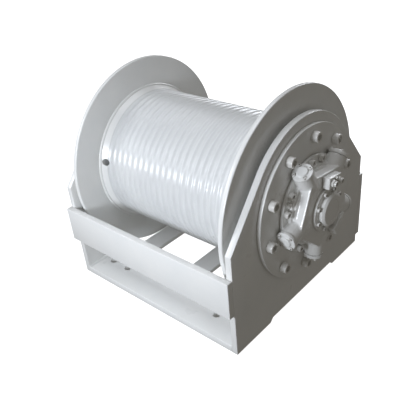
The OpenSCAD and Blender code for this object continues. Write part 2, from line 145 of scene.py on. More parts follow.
def ramp(tree: bpy.types.NodeTree, value: bpy.types.NodeSocket,
         stops: Sequence[tuple[float, str]]) -> bpy.types.NodeSocket:
    """Add a colour ramp with the given places and hex colours and return its colour socket."""
    node = add_node(tree, "ShaderNodeValToRGB", {"Fac": value})
    elements = node.color_ramp.elements
    elements[0].position, elements[0].color = stops[0][0], linear(stops[0][1])
    elements[1].position, elements[1].color = stops[-1][0], linear(stops[-1][1])
    for place, colour in stops[1:-1]:
        elements.new(place).color = linear(colour)
    return node.outputs["Color"]


@dataclass(frozen=True)
class Enamel:
    """Sprayed two-coat gloss enamel on steel.

    The top coat gives soft broad highlights, the spray leaves a fine orange peel, and
    painted shade turns the white grey in corners, where ambient occlusion finds them.
    """

    name: str = "gloss_enamel"
    colour: str = "f4f4f2"
    shade: str = "eeefee"
    # corner: colour of the painted shade in corners; corner_mm, corner_amount and corner_open set its reach and
    # strength
    corner: str = "a9a69e"
    roughness: tuple[float, float] = (0.27, 0.33)
    peel_mm: float = 2.6  # real orange peel is about 1 mm, drawn coarser so that it shows
    peel_depth_mm: float = 0.035
    cloud_mm: float = 90.0
    corner_mm: float = 14.0
    corner_amount: float = 0.35
    corner_open: float = 0.85  # share of open sky above which no painted shade is mixed in

    def build(self) -> bpy.types.Material:
        """Make the material."""
        material, tree, shader = new_shader(self.name)
        place = add_node(tree, "ShaderNodeTexCoord").outputs["Object"]
        cloud = add_node(
            tree, "ShaderNodeTexNoise",
            {"Vector": place, "Scale": 1 / (self.cloud_mm * MM), "Detail": 4.0, "Roughness": 0.6},
        ).outputs["Fac"]
        peel = add_node(
            tree, "ShaderNodeTexNoise",
            {"Vector": place, "Scale": 1 / (self.peel_mm * MM), "Detail": 2.0, "Roughness": 0.4},
        ).outputs["Fac"]
        paint = ramp(tree, cloud, [(0.3, self.shade), (0.7, self.colour)])
        # painted shade: where ambient occlusion finds a corner, the paint is mixed towards the corner colour
        occlusion_shade = add_node(
            tree, "ShaderNodeAmbientOcclusion", {"Distance": self.corner_mm * MM}, samples=6
        ).outputs["AO"]
        painted_shade_mix = add_node(
            tree, "ShaderNodeMapRange",
            {"Value": occlusion_shade, "From Min": 0.15, "From Max": self.corner_open,
             "To Min": self.corner_amount, "To Max": 0.0},
        ).outputs["Result"]
        mixed = add_node(
            tree, "ShaderNodeMix",
            {"Factor": painted_shade_mix, 6: paint, 7: linear(self.corner)}, data_type="RGBA",
        )
        tree.links.new(mixed.outputs[2], shader.inputs["Base Color"])
        gloss = add_node(
            tree, "ShaderNodeMapRange",
            {"Value": cloud, "From Min": 0.3, "From Max": 0.7,
             "To Min": self.roughness[1], "To Max": self.roughness[0]},
        )
        tree.links.new(gloss.outputs["Result"], shader.inputs["Roughness"])
        bump = add_node(
            tree, "ShaderNodeBump",
            {"Height": peel, "Distance": self.peel_depth_mm * MM, "Strength": 0.5},
        )
        tree.links.new(bump.outputs["Normal"], shader.inputs["Normal"])
        shader.inputs["Coat Weight"].default_value = 0.35
        shader.inputs["Coat Roughness"].default_value = 0.12
        return material


@dataclass(frozen=True)
class MetalFinish:
    """Machined metal: fine tool marks break its highlight into short streaks."""

    name: str
    light: str
    dark: str
    roughness: tuple[float, float] = (0.22, 0.4)
    metallic: float = 1.0
    mark_mm: float = 1.2
    depth_mm: float = 0.01

    def build(self) -> bpy.types.Material:
        """Make the material."""
        material, tree, shader = new_shader(self.name)
        place = add_node(tree, "ShaderNodeTexCoord").outputs["Object"]
        stretched = add_node(
            tree, "ShaderNodeMapping", {"Vector": place, "Scale": (6.0, 1.0, 1.0)}
        ).outputs["Vector"]
        marks = add_node(
            tree, "ShaderNodeTexNoise",
            {"Vector": stretched, "Scale": 1 / (self.mark_mm * MM), "Detail": 3.0},
        ).outputs["Fac"]
        tree.links.new(
            ramp(tree, marks, [(0.3, self.dark), (0.7, self.light)]), shader.inputs["Base Color"]
        )
        gloss = add_node(
            tree, "ShaderNodeMapRange",
            {"Value": marks, "From Min": 0.3, "From Max": 0.7,
             "To Min": self.roughness[1], "To Max": self.roughness[0]},
        )
        tree.links.new(gloss.outputs["Result"], shader.inputs["Roughness"])
        bump = add_node(
            tree, "ShaderNodeBump", {"Height": marks, "Distance": self.depth_mm * MM, "Strength": 0.4}
        )
        tree.links.new(bump.outputs["Normal"], shader.inputs["Normal"])
        shader.inputs["Metallic"].default_value = self.metallic
        return material


@dataclass(frozen=True)
class Palette:
    """Every finish of the windlass, made once."""

    enamel: bpy.types.Material
    barrel: bpy.types.Material
    fastener: bpy.types.Material
    steel: bpy.types.Material
    spring: bpy.types.Material
    bronze: bpy.types.Material
    lining: bpy.types.Material
    rubber: bpy.types.Material

    @classmethod
    def build(cls) -> "Palette":
        """Make all materials."""
        return cls(
            enamel=Enamel().build(),
            # painted shade: the groove valleys are mixed fully towards dark grey where ambient occlusion finds
            # them, and the barrel's white is painted a shade greyer so that its brightly lit face does not wash
            # out
            barrel=Enamel(
                name="groove_enamel", colour="e6e8e8", shade="dfe1e2", corner="6f6f6c",
                corner_mm=9.0, corner_amount=1.0, corner_open=1.0,
            ).build(),
            # painted shade: sockets and the foot of each head are mixed towards dark grey where ambient occlusion
            # finds them
            fastener=Enamel(
                name="enamelled_fastener", colour="f2f1ee", shade="dddcd8", corner="77746d",
                peel_mm=1.8, cloud_mm=18.0, corner_mm=5.0, corner_amount=0.7,
            ).build(),
            steel=MetalFinish("ground_steel", "b9bbbd", "8f9193").build(),
            spring=MetalFinish("blackened_steel", "4a4c50", "2c2d30", (0.35, 0.5)).build(),
            bronze=MetalFinish("turned_bronze", "c09a5c", "93713c").build(),
            lining=MetalFinish("sintered_lining", "4c4640", "332f2b", (0.75, 0.9), 0.0, 0.8).build(),
            rubber=MetalFinish("nitrile_rubber", "1b1b1c", "121213", (0.6, 0.75), 0.0, 2.0).build(),
        )

    def of(self, slot: Slot) -> bpy.types.Material:
        """Return the material of a record slot."""
        return {
            Slot.ENAMEL: self.enamel, Slot.FASTENER: self.fastener, Slot.STEEL: self.steel,
            Slot.SPRING: self.spring, Slot.BRONZE: self.bronze, Slot.LINING: self.lining,
            Slot.RUBBER: self.rubber,
        }[slot]


# ---------------------------------------------------------------- modelling helpers


def axial(x: float) -> Matrix:
    """Placement on the drum axis: local X, Y and Z become Y, Z and X."""
    turn = Matrix(((0, 0, 1), (1, 0, 0), (0, 1, 0))).to_4x4()
    return Matrix.Translation(AXIS + ALONG * x) @ turn


def polar(x: float, radius: float, degrees: float) -> Matrix:
    """Placement on a circle about the drum axis, with local X pointing outwards."""
    return axial(x) @ Matrix.Rotation(math.radians(degrees), 4, "Z") @ Matrix.Translation((radius, 0, 0))


def outward(x: float, radius: float, degrees: float) -> Matrix:
    """Placement on a circle about the drum axis, with local Z pointing outwards."""
    return polar(x, radius, degrees) @ Matrix.Rotation(math.pi / 2, 4, "Y")


HALF_TURN = Matrix.Rotation(math.pi, 4, "Z")


def bearing_side(placement: Matrix) -> Matrix:
    """Turn a placement about the vertical through the drum's middle, to the far side."""
    return HALF_TURN @ placement


def soften(bm: bmesh.types.BMesh, width: float, segments: int = 3, angle: float = 40.0) -> None:
    """Round every edge that is sharper than the given angle.

    Args:
        bm: The mesh.
        width: Width of the rounding.
        segments: Number of strips in it.
        angle: Least angle between two faces, in degrees.
    """
    sharp = [
        e for e in bm.edges
        if len(e.link_faces) == 2 and e.calc_face_angle(0.0) > math.radians(angle)
    ]
    bmesh.ops.bevel(
        bm, geom=sharp, offset=width, segments=segments, profile=0.5,
        affect="EDGES", material=-1, clamp_overlap=True,
    )


def lathe(corners: Sequence[tuple[float, float]], rounding: float = 0.0, steps: int = 96,
          closed: bool = True) -> bmesh.types.BMesh:
    """Spin an outline about local Z.

    Args:
        corners: Outline as (radius, height) pairs.
        rounding: Radius worked into the outline's corners.
        steps: Number of facets round the axis.
        closed: Whether the outline is a loop; an open one starts and ends on the axis.

    Returns:
        The solid as a bmesh.
    """
    bm = bmesh.new()
    verts = [bm.verts.new((radius, 0, height)) for radius, height in corners]
    pairs = list(zip(verts, verts[1:]))
    if closed:
        pairs.append((verts[-1], verts[0]))
    for pair in pairs:
        bm.edges.new(pair)
    if rounding:
        inner = verts if closed else verts[1:-1]
        bmesh.ops.bevel(
            bm, geom=inner, offset=rounding, segments=3, profile=0.5,
            affect="VERTICES", material=-1, clamp_overlap=True,
        )
    bmesh.ops.spin(
        bm, geom=bm.verts[:] + bm.edges[:], cent=(0, 0, 0), axis=(0, 0, 1),
        angle=TURN, steps=steps, use_merge=True,
    )
    bmesh.ops.remove_doubles(bm, verts=bm.verts[:], dist=1e-6)
    bmesh.ops.dissolve_degenerate(bm, edges=bm.edges[:], dist=1e-7)
    bmesh.ops.recalc_face_normals(bm, faces=bm.faces[:])
    return bm


def circle_loop(bm: bmesh.types.BMesh, radius: float, centre: tuple[float, float] = (0, 0),
                segments: int = 48) -> list[bmesh.types.BMEdge]:
    """Add a circle in the XY plane and return its edges."""
    made = bmesh.ops.create_circle(
        bm, cap_ends=False, radius=radius, segments=segments,
        matrix=Matrix.Translation((*centre, 0)),
    )
    verts = set(made["verts"])
    return [e for e in bm.edges if e.verts[0] in verts and e.verts[1] in verts]


def slab(outline: Sequence[tuple[float, float]], holes: Iterable[tuple[float, float, float]],
         thickness: float, rounding: float = 1.2 * MM, hole_segments: int = 40) -> bmesh.types.BMesh:
    """Cut a plate with round holes and rounded edges.

    Args:
        outline: Corners of the plate in the XY plane.
        holes: Each hole's centre and radius, as (x, y, radius).
        thickness: Thickness upwards from the XY plane.
        rounding: Width of the rounded edges.
        hole_segments: Facets of each hole.

    Returns:
        The solid as a bmesh.
    """
    bm = bmesh.new()
    rim = [bm.verts.new((x, y, 0)) for x, y in outline]
    for pair in zip(rim, rim[1:] + rim[:1]):
        bm.edges.new(pair)
    for x, y, radius in holes:
        circle_loop(bm, radius, (x, y), hole_segments)
    bmesh.ops.triangle_fill(bm, use_beauty=True, use_dissolve=False, edges=bm.edges[:])
    bmesh.ops.recalc_face_normals(bm, faces=bm.faces[:])
    made = bmesh.ops.extrude_face_region(bm, geom=bm.faces[:])
    moved = [g for g in made["geom"] if isinstance(g, bmesh.types.BMVert)]
    bmesh.ops.translate(bm, verts=moved, vec=(0, 0, thickness))
    bmesh.ops.recalc_face_normals(bm, faces=bm.faces[:])
    soften(bm, rounding)
    return bm


def block(size: Vector, rounding: float) -> bmesh.types.BMesh:
    """Make a box with rounded edges that stands on the XY plane, centred in X and Y."""
    bm = bmesh.new()
    place = Matrix.Translation((0, 0, size.z / 2)) @ Matrix.Diagonal((*size, 1))
    bmesh.ops.create_cube(bm, size=1.0, matrix=place)
    soften(bm, rounding)
    return bm


def block_between(low: Vector, high: Vector, rounding: float = 1.2 * MM) -> bmesh.types.BMesh:
    """Make a rounded box between two corners given in the frame."""
    bm = block(high - low, rounding)
    middle = (low + high) / 2
    bm.transform(Matrix.Translation((middle.x, middle.y, low.z)))
    return bm


def hexagonal(verts: Iterable[bmesh.types.BMVert], across: float) -> None:
    """Pull a ring of vertices round local Z into a hexagon of the given width across flats."""
    for v in verts:
        angle = math.atan2(v.co.y, v.co.x) % (math.pi / 3) - math.pi / 6
        radius = across / 2 / math.cos(angle)
        v.co.xy = v.co.xy.normalized() * radius


@dataclass(frozen=True)
class ScrewSize:
    """Head of a socket cap screw or of a hexagon, in metres.

    The chamfer and the socket's depth are shares of the head's radius and height.
    """

    head_r: float
    head_h: float
    socket: float
    segments: int = 24
    chamfer: float = 0.12
    sink: float = 0.55

    def socket_head(self) -> bmesh.types.BMesh:
        """Make a smooth cap head with its hexagon socket, standing on local Z = 0."""
        bm = bmesh.new()
        bmesh.ops.create_cone(
            bm, cap_ends=True, segments=self.segments, radius1=self.head_r, radius2=self.head_r,
            depth=self.head_h, matrix=Matrix.Translation((0, 0, self.head_h / 2)),
        )
        top = max(bm.faces, key=lambda f: f.calc_center_median().z)
        bmesh.ops.bevel(
            bm, geom=list(top.edges), offset=self.head_r * self.chamfer, segments=3, profile=0.5,
            affect="EDGES", material=-1,
        )
        top = max(bm.faces, key=lambda f: (round(f.calc_center_median().z, 6), f.calc_area()))
        bmesh.ops.inset_region(bm, faces=[top], thickness=self.head_r * self.chamfer, use_even_offset=True)
        hexagonal(top.verts, self.socket)
        made = bmesh.ops.extrude_face_region(bm, geom=[top])
        floor = [g for g in made["geom"] if isinstance(g, bmesh.types.BMVert)]
        bmesh.ops.delete(bm, geom=[top], context="FACES_ONLY")
        bmesh.ops.translate(bm, verts=floor, vec=(0, 0, -self.head_h * self.sink))
        bmesh.ops.recalc_face_normals(bm, faces=bm.faces[:])
        return bm

    def hexagon(self, height: float) -> bmesh.types.BMesh:
        """Make a hexagon with a chamfered top, standing on local Z = 0."""
        bm = bmesh.new()
        made = bmesh.ops.create_cone(
            bm, cap_ends=True, segments=self.segments, radius1=self.head_r, radius2=self.head_r,
            depth=height, matrix=Matrix.Translation((0, 0, height / 2)),
        )
        hexagonal(made["verts"], self.socket)
        top = max(bm.faces, key=lambda f: f.calc_center_median().z)
        bmesh.ops.inset_region(bm, faces=[top], thickness=self.socket * 0.04, use_even_offset=True)
        for v in top.verts:
            v.co.xy = v.co.xy.normalized() * self.socket * 0.47
        bmesh.ops.translate(bm, verts=list(top.verts), vec=(0, 0, self.socket * 0.03))
        bmesh.ops.recalc_face_normals(bm, faces=bm.faces[:])
        return bm


def gather(parts: Iterable[tuple[bmesh.types.BMesh, Matrix]]) -> bmesh.types.BMesh:
    """Join placed meshes into one and free them.

    Args:
        parts: Each mesh with its placement in the frame.

    Returns:
        One bmesh with every part in its place.
    """
    whole = bmesh.new()
    for bm, placement in parts:
        bm.transform(placement)
        if placement.determinant() < 0:
            bmesh.ops.reverse_faces(bm, faces=bm.faces[:])
        mesh = bpy.data.meshes.new("part")
        bm.to_mesh(mesh)
        bm.free()
        whole.from_mesh(mesh)
        bpy.data.meshes.remove(mesh)
    return whole


def copies(make: Callable[[], bmesh.types.BMesh], places: Iterable[Matrix]) -> bmesh.types.BMesh:
    """Make the same part at several places, as one mesh."""
    return gather((make(), place) for place in places)


def finish_piece(name: str, bm: bmesh.types.BMesh, material: bpy.types.Material, slot: Slot,
                 body: Body, *nodes: str, smooth: float = 35.0) -> bpy.types.Object:
    """Turn a bmesh into a piece of the windlass.

    Args:
        name: Name of the piece.
        bm: Its mesh, in the frame; it is freed.
        material: Its finish.
        slot: The record slot that the finish belongs to; not used.
        body: The body that it rides on.
        nodes: CAD nodes that it stands for.
        smooth: Edges sharper than this many degrees stay sharp.

    Returns:
        The object.
    """
    mesh = bpy.data.meshes.new(name)
    bm.to_mesh(mesh)
    bm.free()
    mesh.polygons.foreach_set("use_smooth", [True] * len(mesh.polygons))
    mesh.set_sharp_from_angle(angle=math.radians(smooth))
    mesh.materials.append(material)
    piece = bpy.data.objects.new(name, mesh)
    bpy.context.scene.collection.objects.link(piece)
    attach(piece, body.value)
    if nodes:
        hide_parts(*nodes)
    LOG.info("%s: %d faces on %s", name, len(mesh.polygons), body.value)
    return piece


@dataclass(frozen=True)
class Weld:
    """Fillet weld: a bead of overlapping ripples in an inside corner."""

    leg: float = 5 * MM
    ripple: float = 3.6 * MM
    depth: float = 0.35 * MM
    root: float = 0.12  # how far the bead reaches into the corner, as a share of its leg
    corner_points: int = 5
    steps_per_ripple: int = 3

    def bulge(self, travelled: float) -> float:
        """Return how far the bead stands out at a distance along it."""
        phase = (travelled / self.ripple) % 1.0
        return self.depth * (math.sin(math.pi * phase) ** 0.6 - 0.5)

    def section(self, bm: bmesh.types.BMesh) -> list[bmesh.types.BMEdge]:
        """Draw the bead's section in the XZ plane, with its legs along X and Z."""
        made = bmesh.ops.create_circle(bm, cap_ends=False, radius=self.leg, segments=4 * self.corner_points)
        for v in made["verts"]:
            x, y = max(v.co.x, -self.root * self.leg), max(v.co.y, -self.root * self.leg)
            flat = (self.leg - x - y) * 0.25 if x > 0 and y > 0 else 0.0
            v.co = Vector((x + flat, 0, y + flat))
        bmesh.ops.remove_doubles(bm, verts=bm.verts[:], dist=self.leg * 0.02)
        return bm.edges[:]

    def sweep(self, length: float, place: Callable[[float, float], Matrix],
              loop: bool = False) -> bmesh.types.BMesh:
        """Extrude the bead along a path.

        Args:
            length: Length of the path.
            place: Placement of the section at a distance, for a given bulge.
            loop: Whether the path closes on itself.

        Returns:
            The bead as a bmesh.
        """
        bm = bmesh.new()
        edges = self.section(bm)
        verts = list({v for e in edges for v in e.verts})
        rest = {v: v.co.copy() for v in verts}
        steps = max(4, round(length / self.ripple) * self.steps_per_ripple)
        for v in verts:
            v.co = place(0.0, self.bulge(0.0)) @ rest[v]
        first = edges
        for step in range(1, steps if loop else steps + 1):
            travelled = length * step / steps
            made = bmesh.ops.extrude_edge_only(bm, edges=edges)["geom"]
            edges = [g for g in made if isinstance(g, bmesh.types.BMEdge)]
            fresh = [g for g in made if isinstance(g, bmesh.types.BMVert)]
            matrix = place(travelled, self.bulge(travelled))
            renewed = {}
            for v in fresh:
                source = next(e.other_vert(v) for e in v.link_edges if e.other_vert(v) in rest)
                renewed[v] = rest[source]
                v.co = matrix @ rest[source]
            rest = renewed
        if loop:
            bmesh.ops.bridge_loops(bm, edges=first + edges)
        else:
            bmesh.ops.holes_fill(bm, edges=bm.edges[:], sides=0)
        bmesh.ops.recalc_face_normals(bm, faces=bm.faces[:])
        return bm

    def straight(self, start: Vector, end: Vector, leg_x: Vector, leg_z: Vector) -> bmesh.types.BMesh:
        """Lay a bead from start to end, in the corner between two directions."""
        def place(travelled: float, bulge: float) -> Matrix:
            grow = 1 + bulge / self.leg
            run = (end - start).normalized()
            turn = Matrix((leg_x * grow, run, leg_z * grow)).transposed().to_4x4()
            return Matrix.Translation(start + run * travelled) @ turn
        return self.sweep((end - start).length, place)

    def round_axis(self, x: float, radius: float, side: float) -> bmesh.types.BMesh:
        """Lay a ring about the drum axis, with its legs outwards and towards side along X."""
        def place(travelled: float, bulge: float) -> Matrix:
            grow = 1 + bulge / self.leg
            turn = Matrix(((0, 0, side * grow), (grow, 0, 0), (0, 1, 0))).to_4x4()
            spin = Matrix.Rotation(travelled / radius, 4, "X")
            return Matrix.Translation(AXIS + ALONG * x) @ spin @ Matrix.Translation((0, radius, 0)) @ turn
        return self.sweep(TURN * radius, place, loop=True)


# ---------------------------------------------------------------- sub-assemblies


def deck_holes() -> list[tuple[float, float, float]]:
    """Return the deck bolt holes as (x, y, radius), from the record's bolt patterns."""
    holes = []
    for mount in frame["record"]["mounts"]:
        if mount["kind"] == "bolt_pattern":
            dims = mount["dims"]
            x, y = dims["spacing_x_mm"] * MM / 2, dims["spacing_y_mm"] * MM / 2
            holes += [(sx * x, sy * y, dims["hole_r_mm"] * MM) for sx in (-1, 1) for sy in (-1, 1)]
    return holes


@dataclass
class WeldedFrame:
    """Side plates, cross plates and drilled base, welded together."""

    palette: Palette
    crown_r: float = 207 * MM
    relief_half: float = 132 * MM
    foot_h: float = 10 * MM
    crown_steps: int = 72
    edge: float = 1.6 * MM
    fillet: Weld = field(default_factory=Weld)

    def side_outline(self, half: float) -> list[tuple[float, float]]:
        """Draw a side plate about the drum axis, with local X along Y and local Y upwards."""
        floor = -AXIS.z
        slope = math.acos(self.crown_r / half)
        sweep = [slope + (math.pi - 2 * slope) * i / self.crown_steps for i in range(self.crown_steps + 1)]
        crown = [(self.crown_r * math.cos(a), self.crown_r * math.sin(a)) for a in sweep]
        relief, foot = self.relief_half, self.foot_h
        return [
            (-half, floor), (-relief - foot, floor), (-relief, floor + foot), (relief, floor + foot),
            (relief + foot, floor), (half, floor), (half, 0.0), *crown, (-half, 0.0),
        ]

    def side_plate(self, name: str, bore: float) -> None:
        """Build one side plate with its bore."""
        low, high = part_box(name)
        bm = slab(self.side_outline(high.y), [(0, 0, bore)], high.x - low.x, self.edge, 96)
        bm.transform(axial(low.x))
        finish_piece(f"{name}_skin", bm, self.palette.enamel, Slot.ENAMEL, Body.FRAME, name)

    def plain_plate(self, name: str) -> None:
        """Build a plate or bar without holes."""
        bm = block_between(*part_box(name), self.edge)
        finish_piece(f"{name}_skin", bm, self.palette.enamel, Slot.ENAMEL, Body.FRAME, name)

    def base_plate(self, name: str) -> None:
        """Build a base plate with its deck bolt holes."""
        low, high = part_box(name)
        holes = [h for h in deck_holes() if low.y < h[1] < high.y]
        outline = [(low.x, low.y), (high.x, low.y), (high.x, high.y), (low.x, high.y)]
        bm = slab(outline, holes, high.z - low.z, self.edge)
        bm.transform(Matrix.Translation((0, 0, low.z)))
        finish_piece(f"{name}_skin", bm, self.palette.enamel, Slot.ENAMEL, Body.FRAME, name)

    def cross_welds(self) -> bmesh.types.BMesh:
        """Lay the upright beads that hold the cross plates to the side plates."""
        beads = []
        for name, inward in (("front_cross_plate", 1), ("rear_cross_plate", -1)):
            low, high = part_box(name)
            y = high.y if inward > 0 else low.y
            for x in (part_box("bearing_side_plate")[1].x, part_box("motor_side_plate")[0].x):
                legs = Vector((-math.copysign(1, x), 0, 0)), Vector((0, inward, 0))
                start, end = Vector((x, y, low.z + self.edge)), Vector((x, y, high.z - self.edge))
                beads.append((self.fillet.straight(start, end, *legs), Matrix()))
        return gather(beads)

    def base_welds(self) -> bmesh.types.BMesh:
        """Lay the beads between the base plates, the side plates and the bars."""
        beads = []
        up = Vector((0, 0, 1))
        for name, inward in (("front_base_plate", 1), ("rear_base_plate", -1)):
            low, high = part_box(name)
            for x in (low.x, high.x):
                leg = Vector((-math.copysign(1, x), 0, 0))
                start, end = Vector((x, low.y + self.edge, high.z)), Vector((x, high.y - self.edge, high.z))
                beads.append((self.fillet.straight(start, end, leg, up), Matrix()))
            y = high.y if inward > 0 else low.y
            for bar in ("base_bar_motor_side", "base_bar_middle", "base_bar_bearing_side"):
                bar_low, bar_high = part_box(bar)
                start = Vector((bar_low.x + self.edge, y, bar_high.z))
                end = Vector((bar_high.x - self.edge, y, bar_high.z))
                beads.append((self.fillet.straight(start, end, Vector((0, inward, 0)), up), Matrix()))
        return gather(beads)

    def build(self) -> None:
        """Build every piece of the frame."""
        self.side_plate("motor_side_plate", 143 * MM)
        self.side_plate("bearing_side_plate", 61 * MM)
        for name in ("front_cross_plate", "rear_cross_plate", "base_bar_motor_side",
                     "base_bar_middle", "base_bar_bearing_side"):
            self.plain_plate(name)
        self.base_plate("front_base_plate")
        self.base_plate("rear_base_plate")
        enamel = self.palette.enamel
        finish_piece("cross_plate_welds", self.cross_welds(), enamel, Slot.ENAMEL, Body.FRAME, smooth=60)
        finish_piece("base_welds", self.base_welds(), enamel, Slot.ENAMEL, Body.FRAME, smooth=60)


@dataclass
class Drum:
    """Grooved barrel with its flanges and riser rings."""

    palette: Palette
    ridge_r: float = 177 * MM
    bore_r: float = 160 * MM
    pitch: float = 19.2 * MM
    groove_r: float = 10.5 * MM
    groove_depth: float = 3.2 * MM
    grooves: int = 22
    arc_points: int = 9
    steps: int = 192
    rope_hole_x: float = -216 * MM
    rope_hole_deg: float = 166.0
    rope_hole_r: float = 9 * MM

    @property
    def end(self) -> float:
        """Distance of the barrel's end from the middle."""
        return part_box("drum_barrel")[1].x

    def barrel_outline(self) -> list[tuple[float, float]]:
        """Draw the barrel's section with its scalloped outside, as (radius, height)."""
        centre_r = self.ridge_r + self.groove_r - self.groove_depth
        reach = math.asin(math.sqrt(self.groove_r**2 - (centre_r - self.ridge_r) ** 2) / self.groove_r)
        outline = [(self.bore_r, -self.end), (self.ridge_r, -self.end)]
        for groove in range(self.grooves):
            middle = (groove + 0.5 - self.grooves / 2) * self.pitch
            for i in range(self.arc_points):
                a = reach * (2 * i / (self.arc_points - 1) - 1)
                outline.append((centre_r - self.groove_r * math.cos(a), middle + self.groove_r * math.sin(a)))
        return [*outline, (self.ridge_r, self.end), (self.bore_r, self.end)]

    def drill(self, piece: bpy.types.Object) -> None:
        """Cut the rope hole through a piece, and keep the cut mesh."""
        bm = bmesh.new()
        bmesh.ops.create_cone(
            bm, cap_ends=True, segments=40, radius1=self.rope_hole_r, radius2=self.rope_hole_r,
            depth=60 * MM, matrix=outward(self.rope_hole_x, 175 * MM, self.rope_hole_deg),
        )
        mesh = bpy.data.meshes.new("drill")
        bm.to_mesh(mesh)
        bm.free()
        cutter = bpy.data.objects.new("drill", mesh)
        bpy.context.scene.collection.objects.link(cutter)
        cut = piece.modifiers.new("rope_hole", "BOOLEAN")
        cut.operation, cut.object, cut.solver = "DIFFERENCE", cutter, "EXACT"
        bake_modifiers(piece)
        bpy.data.objects.remove(cutter)

    def flange(self, name: str) -> None:
        """Turn one flange with rounded rims."""
        low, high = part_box(name)
        rim, bore = (high.y - low.y) / 2, self.bore_r - 8 * MM
        outline = [(bore, low.x), (rim, low.x), (rim, high.x), (bore, high.x)]
        bm = lathe(outline, 2.4 * MM, self.steps)
        bm.transform(axial(0))
        finish_piece(f"{name}_skin", bm, self.palette.enamel, Slot.ENAMEL, Body.DRUM, name)

    def riser(self, side: int) -> bmesh.types.BMesh:
        """Turn the tapered ring beside a flange."""
        name = "riser_ring_motor_side" if side > 0 else "riser_ring_bearing_side"
        low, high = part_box(name)
        top, foot = (high.y - low.y) / 2, self.ridge_r + 0.1 * MM
        inner, outer = (low.x, high.x) if side > 0 else (high.x, low.x)
        bm = lathe([(foot, outer), (foot, inner), (foot + 0.6 * MM, inner), (top, outer)], 0.0, self.steps)
        bm.transform(axial(0))
        return bm

    def build(self) -> None:
        """Build every visible piece of the drum."""
        enamel = self.palette.enamel
        bm = lathe(self.barrel_outline(), 0.0, self.steps)
        bm.transform(axial(0))
        barrel = finish_piece(
            "grooved_barrel", bm, self.palette.barrel, Slot.ENAMEL, Body.DRUM, "drum_barrel", smooth=50
        )
        self.drill(barrel)
        self.flange("drum_flange_motor_side")
        self.flange("drum_flange_bearing_side")
        finish_piece(
            "riser_motor_side", self.riser(1), enamel, Slot.ENAMEL, Body.DRUM, "riser_ring_motor_side"
        )
        riser = finish_piece(
            "riser_bearing_side", self.riser(-1), enamel, Slot.ENAMEL, Body.DRUM, "riser_ring_bearing_side"
        )
        self.drill(riser)
        seam = Weld(leg=4 * MM)
        low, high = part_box("riser_ring_motor_side")
        foot = (high.y - low.y) / 2 - 1.2 * MM
        beads = gather((seam.round_axis(side * self.end, foot, -side), Matrix()) for side in (-1, 1))
        finish_piece("flange_welds", beads, enamel, Slot.ENAMEL, Body.DRUM, smooth=60)


def bake_modifiers(piece: bpy.types.Object) -> None:
    """Replace a piece's mesh by the result of its modifiers."""
    graph = bpy.context.evaluated_depsgraph_get()
    baked = bpy.data.meshes.new_from_object(piece.evaluated_get(graph))
    piece.modifiers.clear()
    piece.data = baked


